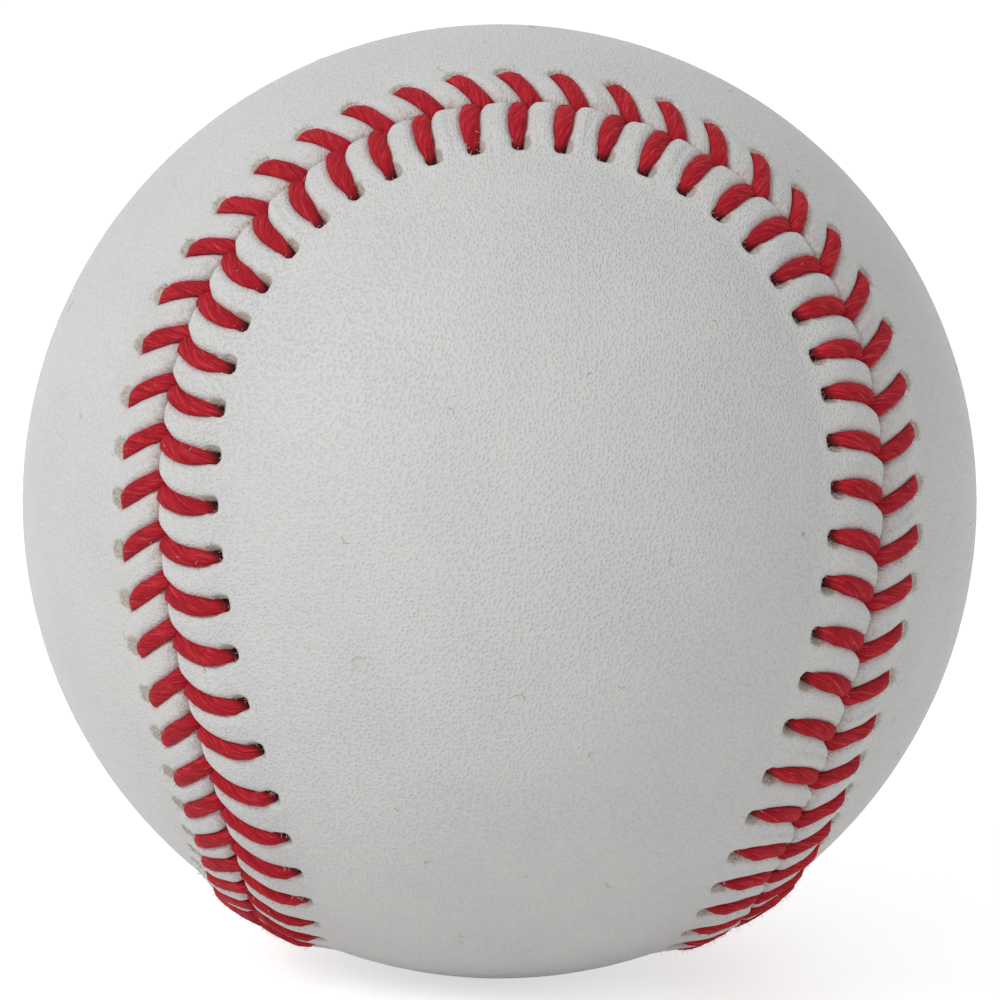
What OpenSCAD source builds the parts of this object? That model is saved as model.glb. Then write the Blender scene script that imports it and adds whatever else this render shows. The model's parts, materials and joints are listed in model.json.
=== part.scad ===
// A hand-stitched baseball: a cork and rubber centre, four yarn windings and two figure-8
// leather panels, joined by pairs of stitches of waxed thread.
// The origin is the centre of the ball. -Z points through the neck of the lower panel, whose
// round ends face -Y and +Y. The upper panel is the lower one turned a quarter about Z and
// flipped, so its neck is at +Z and its round ends face -X and +X.
// Sizes that lie on the cover are measured along the leather.

/* [Ball] */
// Diameter over the smooth leather
ball_d = 73; // [72:0.5:75]
// Thickness of the leather
leather_t = 1.3; // [1.1:0.1:1.5]
// Film of cement between the leather and the yarn
cement_t = 0.15; // [0.15:0.05:0.3]

/* [Centre] */
// Diameter of the cork core
cork_d = 20.6; // [18:0.2:23]
// Thickness of the two black rubber half shells
black_rubber_t = 4; // [3:0.1:5]
// Thickness of the red washer between the half shells
washer_t = 1.6; // [1:0.1:2.5]
// Thickness of the red rubber jacket
red_rubber_t = 2.4; // [1.8:0.1:3.2]

/* [Windings] */
// Thickness of the second winding, white wool
white_wool_t = 1.7; // [1.2:0.1:2.4]
// Thickness of the third winding, fine grey wool
fine_wool_t = 2.1; // [1.5:0.1:2.8]
// Thickness of the finishing winding, white cotton
cotton_t = 0.5; // [0.4:0.1:1]

/* [Seam] */
// Width of a panel's neck, from seam to seam
neck_w = 36; // [34:0.5:38]
// Width of a panel's round end, from seam to seam
end_w = 57.4; // [55:0.2:59]
// Half the turn that the round end makes before the seam straightens, in degrees
end_turn = 80; // [76:1:83]
// Gap between the two leather edges
seam_gap = 0.1; // [0.05:0.05:0.2]

/* [Stitches] */
// Stitches on each side of the seam
stitches = 108; // [100:4:116]
// Diameter of the thread
thread_d = 1.4; // [1.1:0.1:1.5]
// Distance of the holes from the seam
hole_reach = 4.7; // [4.4:0.1:5.2]
// Height of the thread's centre line over the leather
thread_lift = 0.5; // [0.3:0.05:0.6]
// Clearance round the thread in its hole and notch
thread_fit = 0.05; // [0.05:0.01:0.1]
// Height of the leather pillows between the stitches
pillow_h = 0.4; // [0.2:0.05:0.5]
// Width of the leather that eases from the holes to the smooth cover
ease_w = 3.3; // [2.6:0.1:4]

/* [Hidden] */
$fn = 96;

ball_r = ball_d / 2;
cover_in_r = ball_r - leather_t;
cotton_r = cover_in_r - cement_t;
fine_wool_r = cotton_r - cotton_t;
white_wool_r = fine_wool_r - fine_wool_t;
first_wool_r = white_wool_r - white_wool_t;
cork_r = cork_d / 2;
black_rubber_r = cork_r + black_rubber_t;
jacket_r = black_rubber_r + red_rubber_t;

// Where along its pitch each leg of a stitch starts at the seam and ends at its hole. The
// lower panel's legs lie nearly square to the seam, and the upper panel's lean more.
lower_shares = [0.4, 0.2];
upper_shares = [0.65, 0];
// Half the width of a pillow's tip, as a share of the pitch
tip_share = 0.19;
// How much of a pillow's height is left at its tip and beside the holes
tip_rise_share = 0.3;
hole_rise_share = 0.75;
// How far the leather bridge under a leg reaches, as a share of the bend over it
bridge_share = 0.85;
// Rings of points between the eased leather and a panel's spine
ring_shares = [0, 0.25, 0.5, 0.75];

thread_r = thread_d / 2;
crown_r = ball_r + thread_lift;
seam_d = seam_gap / 2;
dive_d = seam_d + thread_r;
slot_r = thread_r + thread_fit;

// The angle at the ball's centre over a length that lies on the leather
function angle_of(length_on_ball) = length_on_ball / ball_r * 180 / PI;
function unit(v) = v / norm(v);
function spin(v, axis, a) = v * cos(a) + cross(axis, v) * sin(a) + axis * (axis * v) * (1 - cos(a));

// The seam is made of arcs. Each round end of a panel is an arc about end_axis, and a wider arc
// about side_axis carries it to crossing, where the seam passes from one panel's end to the
// other's. Four such lobes close the seam, each a quarter turn and a flip from the last.
end_a = angle_of(end_w / 2);
end_lat = 90 - angle_of(neck_w / 2) - end_a;
end_axis = [0, -cos(end_lat), sin(end_lat)];
crossing = unit([1, -1, 0]);
apex = [0, -cos(end_lat + end_a), sin(end_lat + end_a)];
join = spin(apex, end_axis, -end_turn);
join_in = unit(end_axis - join * (join * end_axis));
side_a = atan2(1 - join * crossing, join_in * crossing);
side_axis = join * cos(side_a) + join_in * sin(side_a);
side_turn = acos(unit(join - side_axis * cos(side_a)) * unit(crossing - side_axis * cos(side_a)));
end_len = end_turn * sin(end_a);
lobe_len = end_len + side_turn * sin(side_a);

function half_lobe(s) = s < end_len
    ? spin(apex, end_axis, -s / sin(end_a))
    : spin(join, side_axis, -(s - end_len) / sin(side_a));
function lobe(share) =
    let (s = (2 * share - 1) * lobe_len, p = half_lobe(abs(s)))
    s < 0 ? [-p.x, p.y, p.z] : p;
function quarter(p, q) = q == 0 ? p : quarter([-p.y, p.x, -p.z], q - 1);
// The seam's direction from the ball's centre, t from 0 to 1 along its whole length
function seam(t) =
    let (w = 4 * (t - floor(t)), q = floor(w))
    quarter(lobe(w - q), q);
// The direction of a point on the lower panel at distance d from the seam
function on_panel(t, d) =
    let (step_share = 0.0001, p = seam(t))
    let (ahead = unit(seam(t + step_share) - seam(t - step_share)))
    p * cos(angle_of(d)) + cross(ahead, p) * sin(angle_of(d));

// One leg of thread: it comes up through its hole, bends over the leather and dives at the
// seam. up, out and ahead are its own axes, bend_r its radius and bend_h that bend's centre.
function leg(k, shares) =
    let (
        dive = on_panel((k + shares[0]) / stitches, dive_d),
        hole = on_panel((k + shares[1]) / stitches, hole_reach),
        up = unit(dive + hole),
        out = unit(hole - dive),
        span = cover_in_r * norm(hole - dive) / 2,
        rise = crown_r - cover_in_r * (dive * up),
        bend_r = (span * span + rise * rise) / (2 * rise)
    )
    [up, out, cross(up, out), bend_r, crown_r - bend_r, acos((bend_r - rise) / bend_r), span];
function under_r(l) = l[3] - slot_r;
function bridge_x(l) = bridge_share * under_r(l);
function far_x(l) = l[3] + slot_r;
// A point beside a leg, at x along it and just under the thread
function beside(l, x, side) =
    l[0] * (l[4] + sqrt(under_r(l) * under_r(l) - x * x)) + l[1] * x + l[2] * side * slot_r;
// A far corner of a hole, on the smooth leather. Its wall is clear of the thread at the foot.
function far_corner(l, side) =
    ball_r * unit(l[0] * cover_in_r + l[1] * far_x(l) + l[2] * side * slot_r);

// A point of the pillow after stitch k, at distance d from the seam and at that height
function pillow(k, side, d, height, shares) =
    let (lean = shares[0] + (shares[1] - shares[0]) * (d - dive_d) / (hole_reach - dive_d))
    (ball_r + height) * on_panel((k + 0.5 + lean + side * tip_share) / stitches, d);
// The four points of stitch k in a row: two beside its leg, two on the pillow after it
function row_points(k, x_sign, height, shares) =
    let (
        l = leg(k, shares),
        x = x_sign * bridge_x(l),
        middle_d = (dive_d + hole_reach) / 2,
        d = x_sign < 0 ? seam_d : middle_d + x * (hole_reach - dive_d) / (2 * l[6])
    )
    [
        beside(l, x, -1),
        beside(l, x, 1),
        pillow(k, -1, d, height, shares),
        pillow(k, 1, d, height, shares)
    ];

// The panel's spine runs along its middle, from one round end's centre to the other's
spine_a = 90 + end_lat;
ring_d = hole_reach + ease_w;
function spine_angle(p) = atan2(p.y, -p.z);
function spine_foot(p) =
    let (a = max(-spine_a, min(spine_a, spine_angle(p))))
    [0, sin(a), -cos(a)];
function ring_point(k, share) =
    let (p = on_panel(k / stitches, ring_d))
    unit(p * (1 - share) + spine_foot(p) * share);
// Both sides of a panel share the spine's points, and a whole round end shares its centre
function mirrored(k) = (stitches / 4 - k + stitches) % stitches;
function spine_index(k) =
    let (
        p = on_panel(k / stitches, ring_d),
        at_end = abs(spine_angle(p)) >= spine_a,
        end_k = floor(stitches / 8) + (p.y < 0 ? 0 : stitches / 2),
        own = at_end ? end_k : k % stitches
    )
    min(own, mirrored(own));

// A row is its first point's number and its points per stitch
function at(row, k, j) = row[0] + row[1] * (k % stitches) + j;
function leg_part(row, k) = row[1] > 1 ? [at(row, k, 0), at(row, k, 1)] : [at(row, k, 0)];
function pillow_part(row, k) =
    row[1] > 1
    ? [for (j = [1:row[1]]) j < row[1] ? at(row, k, j) : at(row, k + 1, 0)]
    : [at(row, k, 0), at(row, k + 1, 0)];
// Triangles between two lines of point numbers
function bridge(a, b, i = 0, j = 0) =
    let (last_i = len(a) - 1, last_j = len(b) - 1)
    i == last_i && j == last_j ? [] :
    j == last_j || (i < last_i && (i + 1) * last_j <= (j + 1) * last_i)
    ? concat([[a[i], a[i + 1], b[j]]], bridge(a, b, i + 1, j))
    : concat([[a[i], b[j + 1], b[j]]], bridge(a, b, i, j + 1));
function pillow_strip(a, b) = [
    for (k = [0:stitches - 1]) each bridge(pillow_part(a, k), pillow_part(b, k))
];
function strip(a, b) = concat(
    pillow_strip(a, b),
    [for (k = [0:stitches - 1]) each bridge(leg_part(a, k), leg_part(b, k))]
);
function spine_strip(ring, spine) = [
    for (k = [0:stitches - 1])
        let (a = spine[0] + spine_index(k), b = spine[0] + spine_index(k + 1))
        each bridge(pillow_part(ring, k), a == b ? [a] : [a, b])
];
function flipped(faces) = [for (f = faces) [f[0], f[2], f[1]]];

// A figure-8 panel of leather with its scalloped edge and its stitch holes
module cover_panel(shares) {
    edge_out = [for (k = [0:stitches - 1]) each row_points(k, -1, pillow_h * tip_rise_share, shares)];
    mid_out = [for (k = [0:stitches - 1]) each row_points(k, 0, pillow_h, shares)];
    near_out = [for (k = [0:stitches - 1]) each row_points(k, 1, pillow_h * hole_rise_share, shares)];
    far_out = [for (k = [0:stitches - 1]) for (side = [-1, 1]) far_corner(leg(k, shares), side)];
    rings = [for (share = ring_shares) for (k = [0:stitches - 1]) ring_point(k, share)];
    spine = [for (k = [0:stitches - 1]) spine_foot(on_panel(k / stitches, ring_d))];
    near_in = [for (k = [0:stitches - 1]) for (j = [0, 1]) near_out[4 * k + j]];
    smooth = concat(rings, spine);
    inside = concat(edge_out, near_in, far_out, smooth);
    points = concat(
        edge_out, mid_out, near_out, far_out,
        [for (p = smooth) ball_r * p],
        [for (p = inside) cover_in_r * unit(p)]
    );
    ring_count = len(ring_shares);
    edge_o = [0, 4];
    mid_o = [4 * stitches, 4];
    near_o = [8 * stitches, 4];
    far_o = [12 * stitches, 2];
    rings_o = [for (i = [0:ring_count]) [(14 + i) * stitches, 1]];
    in_start = (15 + ring_count) * stitches;
    edge_i = [in_start, 4];
    near_i = [in_start + 4 * stitches, 2];
    far_i = [in_start + 6 * stitches, 2];
    rings_i = [for (i = [0:ring_count]) [in_start + (8 + i) * stitches, 1]];
    outer = concat(
        strip(edge_o, mid_o),
        strip(mid_o, near_o),
        pillow_strip(near_o, far_o),
        strip(far_o, rings_o[0]),
        [for (i = [1:ring_count - 1]) each strip(rings_o[i - 1], rings_o[i])],
        spine_strip(rings_o[ring_count - 1], rings_o[ring_count])
    );
    inner = concat(
        strip(edge_i, near_i),
        pillow_strip(near_i, far_i),
        strip(far_i, rings_i[0]),
        [for (i = [1:ring_count - 1]) each strip(rings_i[i - 1], rings_i[i])],
        spine_strip(rings_i[ring_count - 1], rings_i[ring_count])
    );
    hole_walls = [
        for (k = [0:stitches - 1])
            let (
                i = [at(near_i, k, 0), at(far_i, k, 0), at(far_i, k, 1), at(near_i, k, 1)],
                o = [at(near_o, k, 0), at(far_o, k, 0), at(far_o, k, 1), at(near_o, k, 1)]
            )
            each bridge(concat(i, [i[0]]), concat(o, [o[0]]))
    ];
    polyhedron(points, concat(outer, flipped(inner), strip(edge_i, edge_o), hole_walls));
}

// The upper panel and its stitches lie like the lower ones, a quarter turn and a flip away
module to_upper() {
    rotate([0, 0, 90]) mirror([0, 0, 1]) children();
}

module thread_legs(shares) {
    for (k = [0:stitches - 1]) {
        l = leg(k, shares);
        across = cross(l[1], l[0]);
        centre = l[0] * l[4];
        multmatrix([
            [l[1].x, l[0].x, across.x, centre.x],
            [l[1].y, l[0].y, across.y, centre.y],
            [l[1].z, l[0].z, across.z, centre.z],
            [0, 0, 0, 1]
        ])
            rotate([0, 0, 90 - l[5]])
                rotate_extrude(angle = 2 * l[5], $fn = 60)
                    translate([l[3], 0])
                        circle(r = thread_r, $fn = 48);
    }
}

module hollow_ball(out_r, in_r) {
    difference() {
        sphere(r = out_r);
        sphere(r = in_r);
    }
}

module cork_core() {
    color("#b98a5e") sphere(r = cork_r);
}

// The part of the black rubber layer that lies above the washer
module half_shell() {
    intersection() {
        hollow_ball(black_rubber_r, cork_r);
        translate([0, 0, washer_t / 2]) cylinder(r = 2 * black_rubber_r, h = 2 * black_rubber_r);
    }
}

module rubber_shell_upper() {
    color("#26262a") half_shell();
}

module rubber_shell_lower() {
    color("#26262a") mirror([0, 0, 1]) half_shell();
}

module rubber_washer() {
    color("#a33a32")
        intersection() {
            hollow_ball(black_rubber_r, cork_r);
            cylinder(r = 2 * black_rubber_r, h = washer_t, center = true);
        }
}

module rubber_jacket() {
    color("#b5453a") hollow_ball(jacket_r, black_rubber_r);
}

module wool_winding_first() {
    color("#8f8d88") hollow_ball(first_wool_r, jacket_r);
}

module wool_winding_second() {
    color("#e4dfd0") hollow_ball(white_wool_r, first_wool_r);
}

module wool_winding_third() {
    color("#9c9a95") hollow_ball(fine_wool_r, white_wool_r);
}

module cotton_winding() {
    color("#efebe0") hollow_ball(cotton_r, fine_wool_r);
}

module cover_panel_upper() {
    color("#e4e3df") to_upper() cover_panel(upper_shares);
}

module cover_panel_lower() {
    color("#e4e3df") cover_panel(lower_shares);
}

module seam_thread() {
    color("#b2182b") {
        thread_legs(lower_shares);
        to_upper() thread_legs(upper_shares);
    }
}

cork_core();
rubber_shell_upper();
rubber_shell_lower();
rubber_washer();
rubber_jacket();
wool_winding_first();
wool_winding_second();
wool_winding_third();
cotton_winding();
cover_panel_upper();
cover_panel_lower();
seam_thread();
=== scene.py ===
import json
import math

import bpy
import numpy as np
from mathutils import Matrix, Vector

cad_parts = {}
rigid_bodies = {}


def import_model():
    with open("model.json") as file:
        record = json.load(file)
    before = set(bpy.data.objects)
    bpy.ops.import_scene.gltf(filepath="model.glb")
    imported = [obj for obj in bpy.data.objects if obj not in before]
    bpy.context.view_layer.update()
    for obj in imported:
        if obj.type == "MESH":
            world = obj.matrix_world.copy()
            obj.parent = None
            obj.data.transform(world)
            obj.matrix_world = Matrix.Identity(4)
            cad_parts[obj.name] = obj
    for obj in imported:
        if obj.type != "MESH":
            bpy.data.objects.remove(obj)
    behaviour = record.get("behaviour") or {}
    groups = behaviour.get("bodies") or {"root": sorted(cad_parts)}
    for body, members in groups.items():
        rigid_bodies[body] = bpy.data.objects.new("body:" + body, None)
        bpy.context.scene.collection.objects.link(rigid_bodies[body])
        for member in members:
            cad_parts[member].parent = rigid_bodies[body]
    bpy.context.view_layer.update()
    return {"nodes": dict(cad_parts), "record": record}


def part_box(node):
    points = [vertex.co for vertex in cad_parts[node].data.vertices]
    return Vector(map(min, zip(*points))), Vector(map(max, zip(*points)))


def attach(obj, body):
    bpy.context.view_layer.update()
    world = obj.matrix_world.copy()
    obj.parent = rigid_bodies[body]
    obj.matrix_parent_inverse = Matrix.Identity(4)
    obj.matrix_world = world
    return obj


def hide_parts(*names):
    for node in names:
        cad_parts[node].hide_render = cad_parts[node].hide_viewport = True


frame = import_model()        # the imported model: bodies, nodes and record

mm = 0.001
ballRadius = -frame["record"]["mounts"][0]["pos_m"][2]  # the mount is where the ball rests
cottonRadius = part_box("cotton_winding")[1].z


# Helpers for node trees

class Term:
    # a node's output that adds, subtracts, multiplies and divides as a number does
    def __init__(self, socket):
        self.socket = socket

    def __add__(self, other):
        return calc("ADD", self, other)

    def __sub__(self, other):
        return calc("SUBTRACT", self, other)

    def __rsub__(self, other):
        return calc("SUBTRACT", other, self)

    def __mul__(self, other):
        return calc("MULTIPLY", self, other)

    def __truediv__(self, other):
        return calc("DIVIDE", self, other)

    def __rtruediv__(self, other):
        return calc("DIVIDE", other, self)


def treeOf(*values):
    # the node tree that these outputs are in
    return next(value.socket.id_data for value in values if isinstance(value, Term))


def feed(socket, value):
    if isinstance(value, Term):
        socket.id_data.links.new(value.socket, socket)
    else:
        socket.default_value = value


def addNode(tree, kind, feeds=None, **settings):
    # a kind is written without its prefix
    prefixes = ("ShaderNode", "GeometryNode", "FunctionNode")
    made = tree.nodes.new(next(prefix + kind for prefix in prefixes if hasattr(bpy.types, prefix + kind)))
    for name, value in settings.items():
        setattr(made, name, value)
    for key, value in (feeds or {}).items():
        if isinstance(key, str):
            key = next(i for i, socket in enumerate(made.inputs) if socket.name == key and socket.enabled)
        feed(made.inputs[key], value)
    return made


def put(tree, kind, feeds=None, output=0, **settings):
    return Term(addNode(tree, kind, feeds, **settings).outputs[output])


def calc(operation, *terms, clamp=False):
    return put(treeOf(*terms), "Math", dict(enumerate(terms)), operation=operation, use_clamp=clamp)


def vectorCalc(operation, *terms):
    output = "Value" if operation in ("LENGTH", "DOT_PRODUCT") else "Vector"
    return put(treeOf(*terms), "VectorMath", dict(enumerate(terms)), output, operation=operation)


def scaled(vector, factor):
    return put(treeOf(vector, factor), "VectorMath", {0: vector, "Scale": factor}, operation="SCALE")


def dot(first, second):
    return vectorCalc("DOT_PRODUCT", first, second)


def split(value, kind="XYZ"):
    return [Term(part) for part in addNode(treeOf(value), "Separate" + kind, {0: value}).outputs]


def combine(x, y, z=0.0):
    return put(treeOf(x, y), "CombineXYZ", {0: x, 1: y, 2: z})


def ramp(value, low, high, start=0.0, end=1.0, smooth=True):
    # start below low, end above high, eased between them
    feeds = {0: value, 1: low, 2: high, 3: start, 4: end}
    return put(treeOf(value), "MapRange", feeds, interpolation_type="SMOOTHSTEP" if smooth else "LINEAR")


def fade(value, low, high):
    return ramp(value, low, high, 1.0, 0.0)


def mixColour(share, first, second):
    return put(treeOf(share), "Mix", {0: share, 6: first, 7: second}, 2, data_type="RGBA")


def noise(vector, scale, detail, output=0, **feeds):
    feeds = {"Vector": vector, "Scale": scale, "Detail": detail, **feeds}
    return put(treeOf(vector), "TexNoise", feeds, output, noise_dimensions="4D" if "W" in feeds else "3D")


def cells(vector, scale, randomness=1.0, dimensions="3D"):
    # the distance to the nearest cell's middle, and that cell's own chances
    feeds = {"Vector": vector, "Scale": scale, "Randomness": randomness}
    made = addNode(treeOf(vector), "TexVoronoi", feeds, voronoi_dimensions=dimensions).outputs
    return Term(made["Distance"]), split(Term(made["Color"]), "Color")


def objectPlace(tree):
    # the object's own coordinates, in millimetres
    return scaled(put(tree, "TexCoord", output="Object"), 1 / mm)


def pointValue(tree, name, output="Fac"):
    return put(tree, "Attribute", output=output, attribute_name=name)


def newTree(name, inputs, outputs=()):
    # a shader group if it has outputs, or else a geometry tree; a value's type gives its socket's
    tree = bpy.data.node_groups.new(name, "ShaderNodeTree" if outputs else "GeometryNodeTree")

    def addSocket(label, way, kind):
        return tree.interface.new_socket(label, in_out=way, socket_type="NodeSocket" + kind)

    if not outputs:
        addSocket("Geometry", "INPUT", "Geometry")
        addSocket("Material", "INPUT", "Material")
        addSocket("Geometry", "OUTPUT", "Geometry")
    for label, value in inputs.items():
        kind = {int: "Int", float: "Float", tuple: "Vector"}[type(value)]
        addSocket(label, "INPUT", kind).default_value = value
    for label in outputs:
        addSocket(label, "OUTPUT", "Float")
    given = {socket.name: Term(socket) for socket in tree.nodes.new("NodeGroupInput").outputs}
    return tree, given, tree.nodes.new("NodeGroupOutput").inputs


def namedValue(tree, name, kind="FLOAT"):
    return put(tree, "InputNamedAttribute", {"Name": name}, data_type=kind)


def storeValue(geometry, name, value, kind="FLOAT"):
    feeds = {"Geometry": geometry, "Name": name, "Value": value}
    return put(treeOf(geometry), "StoreNamedAttribute", feeds, data_type=kind, domain="POINT")


def finishShape(geometry, given, result):
    # ends a geometry tree with plain faces that have their material
    tree = treeOf(geometry)
    whole = put(tree, "RealizeInstances", {"Geometry": geometry})
    feed(result["Geometry"], put(tree, "SetMaterial", {"Geometry": whole, "Material": given["Material"]}))
    return tree


# Helpers for objects

def addObject(name, data):
    made = bpy.data.objects.new(name, data)
    bpy.context.scene.collection.objects.link(made)
    return made


def grow(base, tree, values, name):
    # runs a geometry tree on the base and keeps its result as a plain mesh at the origin
    modifier = base.modifiers.new(tree.name, "NODES")
    modifier.node_group = tree
    for item in tree.interface.items_tree:
        if item.in_out == "INPUT" and item.name in values:
            modifier[item.identifier] = values[item.name]
    evaluated = base.evaluated_get(bpy.context.evaluated_depsgraph_get())
    mesh = bpy.data.meshes.new_from_object(evaluated)
    base.modifiers.remove(modifier)
    bpy.data.objects.remove(base)
    mesh.name = name
    print("made", name, len(mesh.polygons), "faces")
    return addObject(name, mesh)


def baseObject(name, points, edges, faces, values):
    # a mesh whose points carry named values for a geometry tree
    mesh = bpy.data.meshes.new(name)
    mesh.from_pydata(points.tolist(), edges, faces)
    for label, numbers in values.items():
        kind, field = ("FLOAT_VECTOR", "vector") if numbers.ndim == 2 else ("FLOAT", "value")
        mesh.attributes.new(label, kind, "POINT").data.foreach_set(field, numbers.ravel())
    return addObject(name, mesh)


# The seam: round ends joined by wider arcs, four lobes in all, each a quarter turn and a flip on

seam = {
    "neckWidth": 36 * mm,
    "endWidth": 57.4 * mm,
    "endTurn": 80,  # degrees of the round end before the seam straightens
    "stitches": 108,
    "holeReach": 4.7 * mm,
    "junctionShift": 0.2 * mm,  # the lower panel's edge lies this far past the middle
    "shiftFade": 5 * mm,  # and the shift ends at this distance from the seam
    "cement": 0.15 * mm,
}


def unit(v):
    return v / np.linalg.norm(v, axis=-1, keepdims=True)


def spin(v, axis, angle):
    angle = np.asarray(angle)[..., None]
    along = axis * (v @ axis)
    return v * np.cos(angle) + np.cross(axis, v) * np.sin(angle) + along * (1 - np.cos(angle))


endAngle = seam["endWidth"] / 2 / ballRadius
endLatitude = math.pi / 2 - seam["neckWidth"] / 2 / ballRadius - endAngle
endAxis = np.array([0, -math.cos(endLatitude), math.sin(endLatitude)])
crossing = unit(np.array([1.0, -1.0, 0.0]))
apex = np.array([0, -math.cos(endLatitude + endAngle), math.sin(endLatitude + endAngle)])
join = spin(apex, endAxis, -math.radians(seam["endTurn"]))
joinIn = unit(endAxis - join * (join @ endAxis))
sideAngle = math.atan2(1 - join @ crossing, joinIn @ crossing)
sideAxis = join * math.cos(sideAngle) + joinIn * math.sin(sideAngle)
sideCentre = sideAxis * math.cos(sideAngle)
sideTurn = math.acos(unit(join - sideCentre) @ unit(crossing - sideCentre))
endLength = math.radians(seam["endTurn"]) * math.sin(endAngle)
lobeLength = endLength + sideTurn * math.sin(sideAngle)


def quarterTurns(points, turns):
    # a quarter turn about Z and a flip, done turns times
    turns = np.asarray(turns) % 4
    x, y, z = points[..., 0], points[..., 1], points[..., 2]
    flip = np.where(turns % 2 == 0, z, -z)
    firstThree = [turns == 0, turns == 1, turns == 2]
    turnedX = np.select(firstThree, [x, -y, -x], y)
    turnedY = np.select(firstThree, [y, x, -y], -x)
    return np.stack([turnedX, turnedY, flip], -1)


def seamPoint(t):
    lobes = 4 * (t - np.floor(t))
    quarter = np.floor(lobes).astype(int)
    along = (2 * (lobes - quarter) - 1) * lobeLength
    reach = np.abs(along)
    onEnd = spin(apex, endAxis, -np.minimum(reach, endLength) / math.sin(endAngle))
    onSide = spin(join, sideAxis, -np.maximum(reach - endLength, 0) / math.sin(sideAngle))
    half = np.where((reach < endLength)[..., None], onEnd, onSide)
    half[..., 0] *= np.where(along < 0, -1, 1)
    return quarterTurns(half, quarter)


def onCover(phase, distance, side):
    # the direction at a stitch phase and a distance from the seam, on the lower panel's frame,
    # with the direction towards the seam there
    t = phase / seam["stitches"]
    step = 0.0001
    middle = seamPoint(t)
    ahead = unit(seamPoint(t + step) - seamPoint(t - step))
    share = np.clip(np.abs(distance) / seam["shiftFade"], 0, 1)
    shift = side * seam["junctionShift"] * (1 - share * share * (3 - 2 * share))
    angle = ((distance - shift) / ballRadius)[..., None]
    inward = np.cross(ahead, middle)
    outward = middle * np.cos(angle) + inward * np.sin(angle)
    towardSeam = middle * np.sin(angle) - inward * np.cos(angle)
    return outward, towardSeam


# The stitches: where each leg starts at the seam and ends at its hole, in pitches. What drifts
# follows a slow wave along each lobe, and what bows follows its square.

stitching = {
    "lower": {
        "side": 1, "quarter": 0, "start": 0.56, "startDrift": 0.24, "startDip": 0.16,
        "hole": 0.28, "holeDrift": 0.38, "holeBow": -0.18, "driftPower": 1,
        "reachShift": -0.3 * mm, "reachDrift": 0.0, "reachBow": 0.28 * mm,
        "seamPast": -0.35 * mm, "pastDrift": -0.18 * mm, "tear": 0.48, "tearDrift": 0.0,
        "bend": 3.0, "slant": -0.7, "holeFullness": 0.0, "threadSize": 1.0,
    },
    "upper": {
        "side": -1, "quarter": 1, "start": 0.67, "startDrift": 0.24, "startDip": 0.0,
        "hole": 0.15, "holeDrift": 1.3, "holeBow": 0.0, "driftPower": 6,
        "reachShift": 0.0, "reachDrift": 0.3 * mm, "reachBow": 0.35 * mm,
        "seamPast": 0.25 * mm, "pastDrift": 0.0, "tear": 0.3, "tearDrift": -0.25,
        "bend": 0.85, "slant": 1.0, "holeFullness": 0.12, "threadSize": 0.93,
    },
    "driftLimit": 0.6,
    "dipWidth": 0.35,
    "phaseScatter": 0.035,
    "holeScatter": 0.12 * mm,
    "slantShares": (0.65, 0.6),  # the least slant, and how much chance adds
    "seed": 11,
}


def stitchTable(row):
    # each stitch's own start, hole, hole distance and tear
    scatter = np.random.RandomState(stitching["seed"] + row["quarter"])
    count = seam["stitches"]
    wave = np.sin((4 * np.arange(count) / count + row["quarter"] - 0.5) * math.pi / 2)
    dip = row["startDip"] * np.clip(1 - np.abs(wave) / stitching["dipWidth"], 0, 1)
    start = row["start"] + row["startDrift"] * wave - dip
    start += scatter.uniform(-1, 1, count) * stitching["phaseScatter"]
    drift = np.abs(wave) ** row["driftPower"]
    if row["driftPower"] > 1:
        drift = np.minimum(drift, stitching["driftLimit"])
    drift = row["holeDrift"] * np.sign(wave) * drift + row["holeBow"] * wave ** 2
    hole = row["hole"] + drift + scatter.uniform(-1, 1, count) * stitching["phaseScatter"]
    reach = seam["holeReach"] + scatter.uniform(-1, 1, count) * stitching["holeScatter"]
    reach += row["reachShift"] + row["reachDrift"] * wave + row["reachBow"] * wave ** 2
    return {
        "start": start, "hole": hole, "reach": reach,
        "tear": row["tear"] + row["tearDrift"] * wave,
        "past": row["seamPast"] + row["pastDrift"] * wave,
        "chance": scatter.uniform(0, 1, count),
    }


def legPhase(row, table, stitch, distance):
    # the phase of a leg's middle at a distance from the seam
    index = stitch % seam["stitches"]
    share = np.clip(distance / table["reach"][index], 0, 1)
    lean = 1 - (1 - share) ** row["bend"]
    return stitch + table["start"][index] + (table["hole"][index] - table["start"][index]) * lean


# The cover panels: a grid along the seam, dense in the stitched band and coarse in the middle

panelGrid = {
    "columnsPerStitch": 18,
    "coarsePerStitch": 3,
    "edgeShares": [1, 0.62, 0.3, 0.1],  # rows down the cut edge, as shares of the thickness
    "edgeRows": [0, 0.12, 0.26, 0.42, 0.6],  # from here to underRows, millimetres from the seam
    "bandStart": 0.8,
    "bandStep": 0.2,
    "bandEnd": 6.2,
    "easeRows": [6.5, 6.9, 7.4, 8.0],
    "underRows": [0.6, 1.6, 3.2, 5.4, 8.0],
    "underRings": 9,  # rows from there to the spine, below and above
    "topRings": 16,
}


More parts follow.
